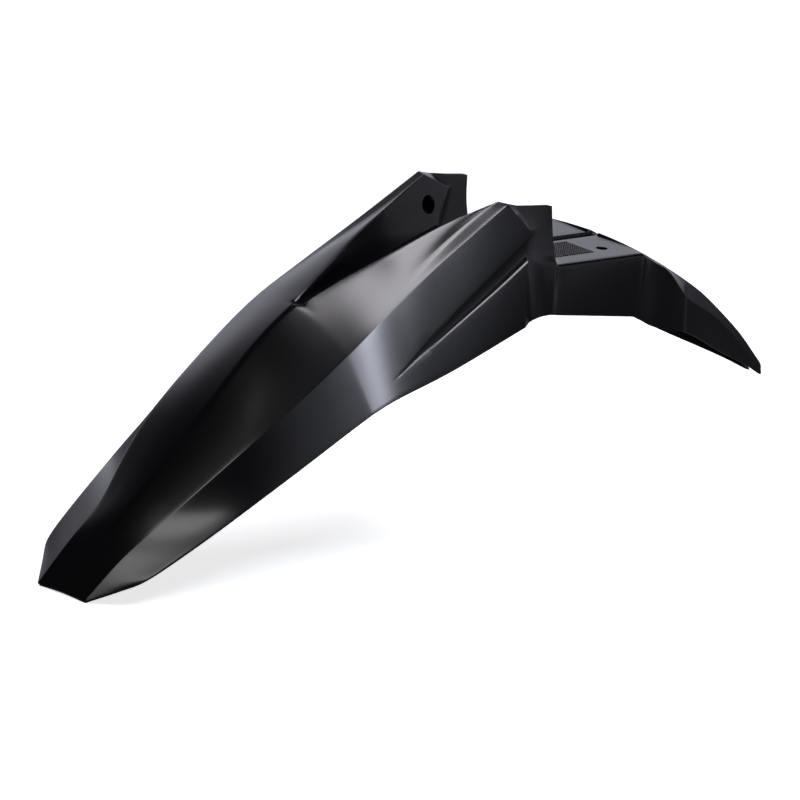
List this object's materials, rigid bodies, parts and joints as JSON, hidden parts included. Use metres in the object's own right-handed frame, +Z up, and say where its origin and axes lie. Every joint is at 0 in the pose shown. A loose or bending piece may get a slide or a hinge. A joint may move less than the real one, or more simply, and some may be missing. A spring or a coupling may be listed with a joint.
{
  "type": "motorcycle mudguard",
  "caption": "Front mudguard of an off-road motorcycle: long creased black shell with a V notch between two horns, flat mounting pads and a tapered tail.",
  "frame": {"origin": "centre of the four bolt holes, on the top face of the mounting pads", "axes": "+X forward to the tip, +Y to the rider's left, +Z up out of the pads towards the fork clamp"},
  "size_m": [0.727, 0.2024, 0.2894],
  "materials": {
    "black_plastic": "satin gloss, moulded in black"
  },
  "bodies": {
    "root": {"mudguard": "black_plastic"}
  },
  "joints": []
}
